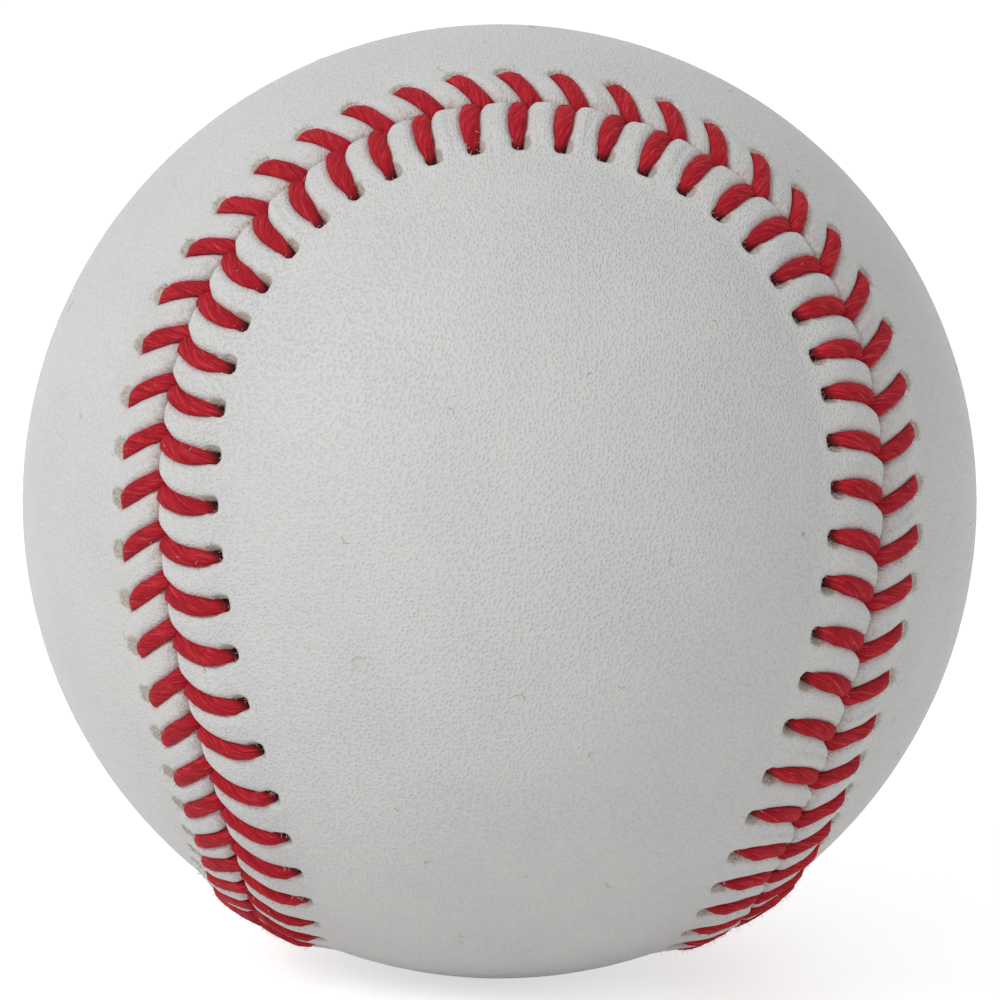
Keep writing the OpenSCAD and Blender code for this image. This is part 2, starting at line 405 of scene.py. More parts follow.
def panelPoints(row, table):
    # every row of the panel's grid as points with their values, from the underside's spine,
    # round the edge and over the top to the spine again
    grid = panelGrid
    fine = seam["stitches"] * grid["columnsPerStitch"]
    coarse = seam["stitches"] * grid["coarsePerStitch"]
    band = np.arange(grid["bandStart"], grid["bandEnd"] + grid["bandStep"] / 2, grid["bandStep"])
    topRows = [*grid["edgeRows"], *band, *grid["easeRows"]]
    spineAngle = math.pi / 2 + endLatitude
    probe = 0.1 * mm
    rows = []

    def addRow(columns, distance, depth, spineShare=0.0):
        phase = np.arange(columns) * seam["stitches"] / columns
        away = np.full(columns, distance * mm)
        outward, towardSeam = onCover(phase, away, row["side"])
        if spineShare > 0:
            angle = np.clip(np.arctan2(outward[:, 1], -outward[:, 2]), -spineAngle, spineAngle)
            foot = np.stack([0 * angle, np.sin(angle), -np.cos(angle)], -1)
            outward = unit(outward * (1 - spineShare) + foot * spineShare)
        nearby = np.roll(outward, -1, axis=0) - outward
        pitch = np.linalg.norm(nearby, axis=1) * ballRadius * columns / seam["stitches"]
        pitch = np.maximum(pitch, mm)
        guess = np.round(phase - legPhase(row, table, np.zeros(columns, int), away)).astype(int)
        best, index = np.full(columns, np.inf), guess % seam["stitches"]
        for stitch in (guess - 1, guess, guess + 1):
            offset = phase - legPhase(row, table, stitch, away)
            closer = np.abs(offset) < np.abs(best)
            best = np.where(closer, offset, best)
            index = np.where(closer, stitch % seam["stitches"], index)
        back = legPhase(row, table, index, away - probe)
        slope = (legPhase(row, table, index, away + probe) - back) / (2 * probe) * pitch
        across = 1 / np.sqrt(1 + slope * slope)
        rows.append({
            "outward": outward,
            "towardSeam": towardSeam,
            "seamDistance": away / mm,
            "besideLeg": best * pitch * across / mm,
            "legSpacing": pitch * across / mm,
            "holeDistance": (away - table["reach"][index]) / mm,
            "legChance": table["chance"][index],
            "tearAside": table["tear"][index],
            "depthShare": np.full(columns, depth),
        })

    for ring in range(grid["underRings"], 0, -1):
        addRow(coarse, grid["underRows"][-1], 1, ring / grid["underRings"])
    for distance in reversed(grid["underRows"]):
        addRow(coarse, distance, 1)
    for depth in grid["edgeShares"]:
        addRow(fine, 0, depth)
    for distance in topRows:
        addRow(fine, distance, 0)
    for ring in range(grid["topRings"]):
        addRow(coarse, grid["easeRows"][-1], 0, (ring + 1) / grid["topRings"])
    return rows


def panelFaces(counts):
    # quads between rows of one length, and fans where a fine row meets a coarse one
    faces, first = [], 0
    for below, above in zip(counts, counts[1:]):
        second = first + below
        if below == above:
            here = np.arange(below)
            there = (here + 1) % below
            faces += np.stack([first + here, first + there, second + there, second + here], -1).tolist()
        else:
            fineCount, coarseCount = max(below, above), min(below, above)
            fineFirst, coarseFirst = (first, second) if below > above else (second, first)
            step = fineCount // coarseCount
            for k in range(coarseCount):
                corner = coarseFirst + k
                nextCorner = coarseFirst + (k + 1) % coarseCount
                run = [fineFirst + (k * step + j) % fineCount for j in range(step + 1)]
                fan = [[a, b, corner] for a, b in zip(run[:step // 2], run[1:step // 2 + 1])]
                fan.append([run[step // 2], nextCorner, corner])
                fan += [[a, b, nextCorner] for a, b in zip(run[step // 2:], run[step // 2 + 1:])]
                faces += fan if below > above else [face[::-1] for face in fan]
        first = second
    return faces


def panelBase(name, row, table):
    rows = panelPoints(row, table)
    faces = panelFaces([len(points["depthShare"]) for points in rows])
    values = {label: np.concatenate([points[label] for points in rows]) for label in rows[0]}
    for label in ("outward", "towardSeam"):
        values[label] = quarterTurns(values[label], row["quarter"])
    if row["side"] > 0:
        faces = [face[::-1] for face in faces]
    return baseObject(name, values["outward"] * ballRadius, [], faces, values)


# In millimetres, apart from the shoulder's power, the wrinkles' scale and the seed
leatherRelief = {
    "lower": {"Pillow Height": 0.7, "Edge Drop": 0.0, "Tip Length": 0.6, "Scallop": 0.4, "Dust Reach": 0.35,
              "Hole Offset": 0.12, "Hole Length": 0.58, "Hole Width": 0.5, "Hole Depth": 1.15,
              "Tear Offset": 0.05, "Tear Length": 0.72, "Tear Width": 0.42, "Tear Depth": 0.3},
    "upper": {"Pillow Height": 0.66, "Edge Drop": 0.25, "Tip Length": 1.0, "Scallop": 0.2, "Dust Reach": 1.9,
              "Hole Offset": -0.2, "Hole Length": 0.42, "Hole Width": 0.45, "Hole Depth": 1.0,
              "Tear Offset": 0.4, "Tear Length": 0.85, "Tear Width": 0.78, "Tear Depth": 0.18},
    "both": {"Leather Thickness": (ballRadius - cottonRadius - seam["cement"]) / mm,
             "Shoulder Start": 0.4, "Shoulder Power": 3.5, "Ease Start": 2.4, "Ease End": 6.4,
             "Channel Depth": 0.1, "Scallop Aside": 0.25, "Rim Height": 0.05,
             "Wrinkle Height": 0.05, "Wrinkle Scale": 0.9, "Seed": 3.0},
}


def leatherTree():
    # lifts the pillows between the legs, sinks the holes and rolls the edge
    tree, given, result = newTree("leatherRelief", {**leatherRelief["lower"], **leatherRelief["both"]})
    names = ("seamDistance", "besideLeg", "legSpacing", "holeDistance", "depthShare", "legChance",
             "tearAside")
    away, aside, spacing, pastHole, depth, chance, tearAside = (namedValue(tree, name) for name in names)
    beside = calc("ABSOLUTE", aside)

    # the shoulder of the pillow beside a leg
    shoulder = given["Shoulder Start"] * ramp(pastHole, -0.9, 0.4, 1.0, 0.7)
    reach = calc("MAXIMUM", spacing * 0.5 - shoulder, 0.2)
    climb = calc("DIVIDE", beside - shoulder, reach, clamp=True)
    left = calc("POWER", 1.0 - climb, given["Shoulder Power"])
    crest = 1.0 - left + ramp(pastHole, 0.3, 1.2) * left

    # rounded tip at the seam, long ease past the holes
    fall = 1.0 - calc("DIVIDE", away, given["Tip Length"], clamp=True)
    rise = calc("SQRT", 1.0 - fall * fall)
    ease = fade(away, given["Ease Start"], given["Ease End"])
    lively = calc("MULTIPLY_ADD", chance, 0.3, 0.85)
    pillow = given["Pillow Height"] * lively * crest * (rise * ease)
    height = pillow - (given["Channel Depth"] * (1.0 - crest) + given["Edge Drop"] * (1.0 - rise))

    # the awl hole at the end of the leg with a low rim, and the torn leather beside it
    def oval(name, across):
        along = (pastHole - given[name + " Offset"]) / given[name + " Length"]
        return vectorCalc("LENGTH", combine(along, across / given[name + " Width"]))

    holeRound, tearRound = oval("Hole", aside), oval("Tear", aside - tearAside)
    hole = fade(holeRound, 0.55, 1.1)
    torn = fade(tearRound, 0.7, 1.1) * ramp(chance, 0.0, 0.3, 0.5, 1.0)
    rim = ramp(holeRound, 1.0, 1.3) * fade(holeRound, 1.4, 2.6)
    height = calc("MULTIPLY_ADD", rim, given["Rim Height"], height)
    height = height - calc("MAXIMUM", hole * given["Hole Depth"], torn * given["Tear Depth"])

    # soft wrinkles, strongest in the stitched band
    place = scaled(put(tree, "InputPosition"), 1 / mm)
    wrinkle = noise(place, given["Wrinkle Scale"], 2.0, W=given["Seed"]) - 0.5
    height = height + wrinkle * given["Wrinkle Height"] * ramp(away, 5.0, 9.0, 2.0, 0.5)

    # down the cut edge and along the underside
    height = height * (1.0 - depth) - depth * given["Leather Thickness"]
    pulled = calc("ABSOLUTE", aside - given["Scallop Aside"])
    back = given["Scallop"] * fade(pulled, 0.3, 0.85) * fade(away, 0.0, 1.4) * (1.0 - depth)
    up = scaled(namedValue(tree, "outward", "FLOAT_VECTOR"), height * mm)
    inward = scaled(namedValue(tree, "towardSeam", "FLOAT_VECTOR"), back * -mm)
    moved = put(tree, "SetPosition", {"Geometry": given["Geometry"], "Offset": vectorCalc("ADD", up, inward)})

    # what the leather's material reads
    # the hole's mask, which the leather's material fills with painted shade
    moved = storeValue(moved, "holeDepth", hole)
    moved = storeValue(moved, "tornLeather", calc("MAXIMUM", torn, hole))
    besideThread = ramp(beside, 0.6, 1.15, 0.4, 0.0) * fade(pastHole, 0.0, 0.5)
    dust = calc("MAXIMUM", fade(away, 0.05, given["Dust Reach"]), besideThread)
    moved = storeValue(moved, "seamDust", dust)
    merged = put(tree, "MergeByDistance", {"Geometry": moved, "Distance": 0.002 * mm})
    return finishShape(put(tree, "SetShadeSmooth", {"Geometry": merged}), given, result)


# The waxed thread: every leg is a path from the seam over the leather into its hole

waxedThread = {
    "Width": 1.39 * mm,
    "Thickness": 1.0 * mm,
    "Hole Narrowing": 0.32,
    "Seam Narrowing": 0.06,
    "Squareness": 0.8,  # 1 is an ellipse, less has fuller corners
    "Unevenness": 0.09,
    "Square End": 0.9,  # how far the corners of the seam end reach, against a round end
    "Twist": 0.62,
    "Sides": 10,
}
threadPath = {
    "rings": 11,
    "crest": 0.38 * mm,
    "seamEnd": {"depth": 1.0 * mm, "dive": 0.5 * mm, "power": 1.6},
    "holeEnd": {"past": 0.1 * mm, "depth": 1.1 * mm, "dive": 1.6 * mm, "power": 2.6},
    "sizeScatter": 0.06,
    "seed": 16,
}


def threadBase(name, rows):
    # the paths of both panels' legs, as lines of points with their values
    path = threadPath
    seamEnd, holeEnd = path["seamEnd"], path["holeEnd"]
    steps = 0.5 - 0.5 * np.cos(math.pi * np.arange(path["rings"]) / (path["rings"] - 1))
    count = len(steps)
    legs, edges = [], []
    for row, table in rows:
        scatter = np.random.RandomState(path["seed"] + row["quarter"])
        for k in range(seam["stitches"]):
            end = table["reach"][k] + holeEnd["past"]
            past, chance = table["past"][k], table["chance"][k]
            away = -past + (end + past) * steps
            lift = np.full(count, path["crest"])
            for tail, left in ((seamEnd, away + past), (holeEnd, end - away)):
                sunk = np.clip(1 - left / tail["dive"], 0, 1) ** tail["power"]
                lift -= (path["crest"] + tail["depth"]) * sunk
            phase = legPhase(row, table, np.full(count, k), away)
            outward = onCover(phase, away, row["side"])[0]
            size = row["threadSize"] * (1 + scatter.uniform(-1, 1) * path["sizeScatter"])
            least, added = stitching["slantShares"]
            line = quarterTurns(outward * (ballRadius + lift)[:, None], row["quarter"])
            start = len(legs) * count
            edges += [(start + i, start + i + 1) for i in range(count - 1)]
            legs.append({
                "place": line,
                "along": away / end,
                "legChance": np.full(count, chance),
                "legSize": size * (1 + row["holeFullness"] * np.clip(away / end, 0, 1)),
                "legSlant": np.full(count, row["slant"] * (least + added * chance)),
                "ahead": unit(np.gradient(line, axis=0)),
            })
    values = {label: np.concatenate([leg[label] for leg in legs]) for label in legs[0]}
    return baseObject(name, values.pop("place"), edges, [], values)


def threadTree():
    tree, given, result = newTree("waxedThread", waxedThread)
    along, place = namedValue(tree, "along"), put(tree, "InputPosition")

    # plump in the middle, narrow where it dives
    intoHole = ramp(along, 0.55, 1.0) * given["Hole Narrowing"]
    intoSeam = fade(along, -0.05, 0.3) * given["Seam Narrowing"]
    lumps = (noise(place, 0.9 / mm, 1.0) - 0.5) * (given["Unevenness"] * 4.0)
    plump = (1.0 - (intoHole + intoSeam)) * namedValue(tree, "legSize") + lumps
    paths = put(tree, "MeshToCurve", {"Mesh": given["Geometry"]})
    centred = storeValue(paths, "centre", place, "FLOAT_VECTOR")

    # a round profile that knows its own angle
    circle = put(tree, "CurvePrimitiveCircle", {"Resolution": given["Sides"], "Radius": 1.0})
    profile = storeValue(circle, "around", put(tree, "SplineParameter", output="Factor"))
    corner = [calc("POWER", calc("ABSOLUTE", side), given["Squareness"]) * calc("SIGN", side)
              for side in split(place)[:2]]
    profile = put(tree, "SetPosition", {"Geometry": profile, "Position": combine(*corner)})
    tube = put(tree, "CurveToMesh", {"Curve": centred, "Profile Curve": profile, "Fill Caps": True,
                                     "Scale": given["Width"] * 0.5 * plump})

    # pressed flat towards the ball, slanted at the hole and square at the seam
    centre = namedValue(tree, "centre", "FLOAT_VECTOR")
    outward = vectorCalc("NORMALIZE", centre)
    offset = vectorCalc("SUBTRACT", place, centre)
    height = dot(offset, outward)
    squeeze = scaled(outward, height * (given["Thickness"] / given["Width"] - 1.0))
    ahead = namedValue(tree, "ahead", "FLOAT_VECTOR")
    sideways = vectorCalc("NORMALIZE", vectorCalc("CROSS_PRODUCT", outward, ahead))
    lateral = dot(offset, sideways)
    slant = namedValue(tree, "legSlant") * ramp(along, 0.6, 0.95)
    square = lateral / mm * (given["Square End"] * fade(along, 0.0, 0.3))
    forward = vectorCalc("CROSS_PRODUCT", sideways, outward)
    slide = scaled(forward, lateral * (slant - square))
    pressed = put(tree, "SetPosition", {"Geometry": tube, "Offset": vectorCalc("ADD", squeeze, slide)})

    # the fibres' own coordinates: round the thread, turned as it twists, and along it
    angle = (namedValue(tree, "around") - along * given["Twist"]) * (2 * math.pi)
    fibre = combine(calc("COSINE", angle), calc("SINE", angle), along * 7.0)
    pressed = storeValue(pressed, "fibre", fibre, "FLOAT_VECTOR")
    return finishShape(put(tree, "SetShadeSmooth", {"Geometry": pressed}), given, result)


# Loose fibres: fuzz and lint on the thread, frayed leather round the holes, and hairs on the cover

threadHair = {"from": "stitched_thread", "slot": "waxed_thread", "Density": 3.4e6, "Lean": 1.2}
holeHair = {"slot": "leather", "look": "whiteFibre", "Density": 1.2e7, "Length": 0.42 * mm,
            "Radius": 0.016 * mm, "Lean": 0.9}
coverHair = {"slot": "waxed_thread", "Density": 2.6e3, "Length": 1.0 * mm, "Radius": 0.014 * mm,
             "Lean": 0.04, "Segments": 7}
looseFibres = {
    "thread_fuzz": {**threadHair, "look": "redFibre", "Length": 0.5 * mm, "Radius": 0.009 * mm, "Seed": 3},
    "thread_fluff": {**threadHair, "look": "paleRedFibre", "Length": 0.45 * mm, "Radius": 0.008 * mm,
                     "Seed": 4},
    "thread_lint": {"from": "stitched_thread", "slot": "leather", "look": "whiteFibre", "Density": 6e4,
                    "Length": 0.4 * mm, "Radius": 0.02 * mm, "Lean": 1.5, "Seed": 5},
    "hole_fray_lower": {**holeHair, "from": "leather_panel_lower", "Seed": 7},
    "hole_fray_upper": {**holeHair, "from": "leather_panel_upper", "Seed": 9},
    "leather_lint_lower": {**coverHair, "from": "leather_panel_lower", "look": "pinkFibre", "Seed": 12,
                           "Middle": (0.55, 0.75, 0.1), "End": (1.0, 0.05, 0.04)},
    "leather_lint_upper": {**coverHair, "from": "leather_panel_upper", "look": "greyFibre", "Seed": 14,
                           "Middle": (0.5, -0.7, 0.1), "End": (1.0, 0.1, 0.04)},
}


# How far a face has to look outwards, how torn its leather is, and the shortest fibre's share
fibreLimits = {"facing": 0.2, "torn": (0.05, 0.95), "shortest": 0.35}


def fibreTree(name, rimOnly):
    # short bent fibres scattered over the faces that look outwards, or only round the holes
    tree, given, result = newTree(name, {
        "Density": 1e5, "Length": 0.5 * mm, "Radius": 0.01 * mm, "Lean": 1.0, "Seed": 1, "Segments": 2,
        "Middle": (0.15, 0.1, 0.5), "End": (0.75, -0.1, 0.75)})
    if rimOnly:
        torn = namedValue(tree, "tornLeather")
        low, high = fibreLimits["torn"]
        where = calc("GREATER_THAN", torn, low) * calc("LESS_THAN", torn, high)
    else:
        outward = vectorCalc("NORMALIZE", put(tree, "InputPosition"))
        facing = dot(outward, put(tree, "InputNormal"))
        where = calc("GREATER_THAN", facing, fibreLimits["facing"])
    scatter = addNode(tree, "DistributePointsOnFaces", {"Mesh": given["Geometry"], "Seed": given["Seed"],
                      "Density": given["Density"] * where}).outputs
    fibre = put(tree, "CurveQuadraticBezier", {"Resolution": given["Segments"], "Start": (0, 0, 0),
                "Middle": given["Middle"], "End": given["End"]})
    lean = scaled((1, 1, 0), given["Lean"])
    least = vectorCalc("MULTIPLY_ADD", lean, (-1, -1, -1), (0, 0, -math.pi))
    most = vectorCalc("ADD", lean, (0, 0, math.pi))
    spread = put(tree, "RandomValue", {0: least, 1: most, "Seed": given["Seed"]}, data_type="FLOAT_VECTOR")
    turned = put(tree, "RotateRotation", {"Rotation": Term(scatter["Rotation"]),
                 "Rotate By": put(tree, "EulerToRotation", {0: spread})}, rotation_space="LOCAL")
    size = put(tree, "RandomValue", {2: fibreLimits["shortest"], 3: 1.0, "Seed": given["Seed"]}, 1,
               data_type="FLOAT")
    placed = put(tree, "InstanceOnPoints", {"Points": Term(scatter["Points"]), "Instance": fibre,
                 "Rotation": turned, "Scale": size * given["Length"]})
    curves = put(tree, "RealizeInstances", {"Geometry": placed})
    profile = put(tree, "CurvePrimitiveCircle", {"Resolution": 3, "Radius": 1.0})
    hairs = put(tree, "CurveToMesh", {"Curve": curves, "Profile Curve": profile, "Scale": given["Radius"],
                "Fill Caps": True})
    return finishShape(hairs, given, result)


# Shader groups that several materials share

def grainGroup():
    # dimpled grain, drawn out a little one way, with fine pores, partly their own tint and partly painted
    # shade in the pits, and broad mottling;
    # the dimples lie flat on the ball's six cube faces, so that every one of them shows
    tree, given, result = newTree("fineGrain", {"Grain Size": 0.3, "Draw": 0.35, "Pore And Shade Strength": 1.0},
                                  ("Height", "Pores And Shade", "Mottle"))
    place = objectPlace(tree)
    x, y, z = split(place)
    wide, deep, high = split(vectorCalc("ABSOLUTE", place))
    across = calc("MAXIMUM", deep, high)
    onX = calc("GREATER_THAN", wide, across)
    onZ = calc("GREATER_THAN", high, calc("MAXIMUM", wide, deep))
    main, radius = calc("MAXIMUM", wide, across), vectorCalc("LENGTH", place)
    flat = combine(*[calc("ARCTAN2", calc("MULTIPLY_ADD", onFace, y - plain, plain), main) * radius
                     for plain, onFace in ((x, onX), (z, onZ))])
    slant = (0.66, 0.75, 0.0)
    drawn = scaled(slant, dot(flat, slant) * given["Draw"])
    grainScale = 1.0 / given["Grain Size"]
    pit, chances = cells(vectorCalc("SUBTRACT", flat, drawn), grainScale, 0.85, "2D")
    dimple = fade(pit, 0.06, 0.52) * calc("MULTIPLY_ADD", chances[0], 0.5, 0.5)
    fine = noise(place, grainScale * 1.6, 2.0)
    mottle = noise(place, 0.12, 4.0)
    # the pores: darker in the pits, partly their own tint and partly painted shade
    poresAndShade = fade(pit, 0.08, 0.26) * ramp(chances[0], 0.0, 0.9, 0.3, 1.0) * given["Pore And Shade Strength"]
    feed(result["Height"], calc("MULTIPLY_ADD", fine, 0.35, dimple * -1.0))
    feed(result["Pores And Shade"], poresAndShade * ramp(mottle, 0.38, 0.62, 0.6, 1.0))
    feed(result["Mottle"], mottle)
    return tree


def markGroup():
    # one round mark on the surface: its inside, and its raised rim
    tree, given, result = newTree("roundMark", {"Place": (0.0, 0.0, 0.0), "Size": 0.5}, ("Inside", "Rim"))
    offset = vectorCalc("SUBTRACT", objectPlace(tree), given["Place"])
    wobble = calc("MULTIPLY_ADD", noise(offset, 2.0, 1.0), 0.4, -0.2)
    away = vectorCalc("LENGTH", offset) / given["Size"] + wobble
    feed(result["Inside"], fade(away, 0.55, 1.05))
    feed(result["Rim"], ramp(away, 0.85, 1.05) * fade(away, 1.05, 1.25))
    return tree


def yarnGroup():
    # yarn wound over itself in bands along great circles, with its plies and loose fibre, painted shade
    # between strands and plies, and each strand's own dye
    tree, given, result = newTree("woundYarn", {"Yarn Width": 1.0, "Ply Length": 2.4, "Band Width": 5.0},
                                  ("Height", "Shade And Dye"))
    place = objectPlace(tree)
    radius = vectorCalc("LENGTH", place)
    bands = 11
    for band in range(bands):
        rise = 1 - 2 * (band + 0.5) / bands
        turn = band * math.pi * (3 - math.sqrt(5))
        level = math.sqrt(1 - rise * rise)
        axis = np.array([level * math.cos(turn), level * math.sin(turn), rise])
        first = unit(np.cross(axis, [0.3, 0.5, 0.81]))
        across, ahead, beyond = (dot(place, tuple(way)) for way in (axis, first, np.cross(axis, first)))
        here = combine(across, calc("ARCTAN2", ahead, beyond) * radius, band * 3.7)
        if band > 0:
            width = given["Band Width"] * (0.5 + 0.5 * ((band * 5) % bands) / bands)
            onBand = calc("LESS_THAN", calc("ABSOLUTE", across), width)
            here = put(tree, "Mix", {0: onBand, 4: lines, 5: here}, 1, data_type="VECTOR")
        lines = here
    across, along, layer = split(lines)
    strand = (across + noise(lines, 0.12, 1.0)) / given["Yarn Width"]
    middle = calc("PINGPONG", strand, 0.5)
    bulge = calc("SINE", middle * math.pi)
    ply = calc("SINE", calc("MULTIPLY_ADD", along / given["Ply Length"], 2 * math.pi, middle * 5.0)) * bulge
    fuzz = noise(vectorCalc("MULTIPLY", lines, (3.0, 0.5, 1.0)), 2.4, 3.0)
    dye = put(tree, "TexWhiteNoise", {"Vector": combine(calc("FLOOR", strand), layer)}, "Value")
    height = calc("MULTIPLY_ADD", ply, 0.18, calc("MULTIPLY_ADD", fuzz, 0.35, bulge))
    # painted shade: darker where the yarn lies low, between strands and plies
    tone = calc("MULTIPLY_ADD", height, 0.5, -0.05)
    feed(result["Height"], height)
    feed(result["Shade And Dye"], calc("MULTIPLY_ADD", dye, 0.25, tone, clamp=True))
    return tree


def speckGroup():
    # rare small specks
    tree, given, result = newTree("specks", {"Spacing": 4.0, "Size": 0.05, "Share": 0.3}, ("Mask",))
    away, chances = cells(objectPlace(tree), 1.0 / given["Spacing"])
    size = given["Size"] / given["Spacing"] * (chances[1] + 0.4)
    feed(result["Mask"], fade(away / size, 0.6, 1.1) * calc("LESS_THAN", chances[0], given["Share"]))
    return tree


def fibreGroup():
    # streaks of fibre that follow a thread's twist; their height also gives the painted shade and highlights
    # in the thread's colour
    tree, given, result = newTree("fibreTwist", {"Fineness": 5.0, "Stretch": 0.16}, ("Height", "Shade"))
    x, y, along = split(pointValue(tree, "fibre", "Vector"))
    place = combine(x, y, along * given["Stretch"])
    shift = pointValue(tree, "legChance") * 37.0
    streaks = noise(place, given["Fineness"], 3.0, W=shift, Roughness=0.6)
    broad = noise(place, given["Fineness"] * 0.32, 1.0, W=shift)
    height = streaks * 0.75 + broad * 0.45
    feed(result["Height"], height)
    feed(result["Shade"], ramp(height, 0.42, 0.74))
    return tree


groups = {"grain": grainGroup(), "specks": speckGroup(), "fibre": fibreGroup(), "mark": markGroup(),
          "yarn": yarnGroup()}


def useGroup(tree, group, values):
    made = addNode(tree, "Group", values, node_tree=groups[group])
    return {output.name: Term(output) for output in made.outputs}


def newMaterial(name):
    material = bpy.data.materials.new(name)
    material.use_nodes = True
    return material, material.node_tree


def finishMaterial(tree, colour, finish, height=None, depth=mm):
    # the colour, the finish under its sockets' own names, and a bump of that depth
    feeds = {"Base Color": colour, **finish}
    if height is not None:
        feeds["Normal"] = put(tree, "Bump", {"Height": height, "Distance": depth, "Strength": 1.0})
    for label, value in feeds.items():
        feed(tree.nodes["Principled BSDF"].inputs[label], value)


# White tanned leather, with dust from the thread along the seam and painted shade in the holes

whiteLeather = {
    "colour": (0.735, 0.735, 0.722, 1),
    "shade": (0.71, 0.711, 0.705, 1),
    # the pores' own tint, with painted shade in the pits
    "poreTintAndShade": (0.44, 0.41, 0.35, 1),
    "dust": (0.5, 0.35, 0.3, 1),
    "suede": (0.62, 0.57, 0.5, 1),
    "suedeShade": (0.44, 0.38, 0.31, 1),
    # painted shade deep in the awl holes
    "deep": (0.05, 0.026, 0.022, 1),
    "speck": (0.12, 0.1, 0.08, 1),
    "finish": {"Roughness": 0.5, "Specular IOR Level": 0.35},
    "grain": {"Grain Size": 0.29, "Draw": 0.2, "Pore And Shade Strength": 0.36},
    "specks": {"Spacing": 5.0, "Size": 0.09, "Share": 0.22},
    "grainDepth": 0.05,  # millimetres, as the marks' sizes are
    "marks": {
        "nick": {"Place": (-12.0, -33.9, -6.36), "Size": 0.6, "colour": (0.68, 0.65, 0.6, 1), "share": 0.6,
                 "depth": 0.07, "rim": 0.03},
        "rust": {"Place": (-12.15, -33.75, -6.65), "Size": 0.15, "colour": (0.66, 0.45, 0.28, 1),
                 "share": 0.4},
        "stain": {"Place": (20.1, -30.4, 2.9), "Size": 0.24, "colour": (0.3, 0.31, 0.27, 1), "share": 0.6},
    },
}


def leatherMaterial():
    material, tree = newMaterial("whiteLeather")
    look = whiteLeather
    grain = useGroup(tree, "grain", look["grain"])
    specks = useGroup(tree, "specks", look["specks"])
    colour = mixColour(ramp(grain["Mottle"], 0.35, 0.65), look["colour"], look["shade"])
    # pores darkened with their own tint and painted shade in the pits
    colour = mixColour(grain["Pores And Shade"], colour, look["poreTintAndShade"])
    colour = mixColour(specks["Mask"] * 0.8, colour, look["speck"])
    place = objectPlace(tree)
    patch = noise(place, 1.6, 4.0, Roughness=0.7)
    grit = noise(place, 6.5, 1.0)
    dusty = pointValue(tree, "seamDust") * ramp(patch, 0.35, 0.65, 0.15, 0.8)
    colour = mixColour(dusty * ramp(grit, 0.4, 0.62, 0.35, 1.0), colour, look["dust"])
    height = grain["Height"] * look["grainDepth"]
    for mark in look["marks"].values():
        spot = useGroup(tree, "mark", {"Place": mark["Place"], "Size": mark["Size"]})
        colour = mixColour(spot["Inside"] * mark["share"], colour, mark["colour"])
        if "depth" in mark:
            height = height * (1.0 - spot["Inside"])
            height = calc("MULTIPLY_ADD", spot["Inside"], -mark["depth"], height)
            height = calc("MULTIPLY_ADD", spot["Rim"], mark["rim"], height)
    suede = mixColour(ramp(grit, 0.35, 0.65), look["suede"], look["suedeShade"])
    colour = mixColour(ramp(pointValue(tree, "tornLeather"), 0.05, 0.6, 0.0, 0.9), colour, suede)
    # painted shade in the holes, darkest where they sink furthest
    colour = mixColour(ramp(pointValue(tree, "holeDepth"), 0.5, 0.95), colour, look["deep"])
    finishMaterial(tree, colour, look["finish"], height)
    return material


# Waxed thread, deep red, with its fibres, painted shade in their grooves and at the holes, and painted
# highlights on their crests

redThread = {
    "colour": (0.6, 0.012, 0.03, 1),
    # painted shade in the grooves between the fibres
    "grooveShade": (0.28, 0.004, 0.01, 1),
    # painted highlights on the fibres' crests
    "crestHighlight": (0.72, 0.075, 0.09, 1),
    # painted shade where the thread dives into its hole, with some dirt there
    "buriedShadeAndDirt": (0.035, 0.008, 0.008, 1),  # where the thread dives into its hole
    "finish": {"Roughness": 0.7, "Specular IOR Level": 0.2},
    "fibres": {"Fineness": 11.0, "Stretch": 0.1},
    "fibreDepth": 0.065 * mm,
}


def threadMaterial():
    material, tree = newMaterial("waxedThread")
    look = redThread
    fibres = useGroup(tree, "fibre", look["fibres"])
    # painted shade in the grooves, where the fibres lie low
    colour = mixColour(fibres["Shade"], look["grooveShade"], look["colour"])
    # painted highlights where the fibres stand highest
    colour = mixColour(ramp(fibres["Height"], 0.62, 0.82), colour, look["crestHighlight"])
    # painted shade darkens the thread as it dives into its hole, with some dirt there
    colour = mixColour(ramp(pointValue(tree, "along"), 0.84, 0.97), colour, look["buriedShadeAndDirt"])
    finishMaterial(tree, colour, look["finish"], fibres["Height"], look["fibreDepth"])
    return material


# Loose fibres, paler and drier than what they come from

fibreLooks = {
    "redFibre": {"colour": (0.5, 0.02, 0.035, 1), "tint": (0.62, 0.12, 0.13, 1)},
    "paleRedFibre": {"colour": (0.5, 0.05, 0.06, 1), "tint": (0.58, 0.13, 0.14, 1)},
    "pinkFibre": {"colour": (0.55, 0.2, 0.2, 1), "tint": (0.66, 0.42, 0.4, 1)},
    "greyFibre": {"colour": (0.4, 0.38, 0.36, 1), "tint": (0.58, 0.36, 0.34, 1)},
    "whiteFibre": {"colour": (0.78, 0.77, 0.73, 1), "tint": (0.55, 0.5, 0.44, 1)},
}
fibreFinish = {"Roughness": 0.85, "Specular IOR Level": 0.1}


def looseMaterial(name):
    material, tree = newMaterial(name)
    look = fibreLooks[name]
    patch = ramp(noise(objectPlace(tree), 1.2, 2.0), 0.4, 0.6)
    finishMaterial(tree, mixColour(patch, look["colour"], look["tint"]), fibreFinish)
    return material


# The filling: wound yarns, moulded rubber and pressed cork

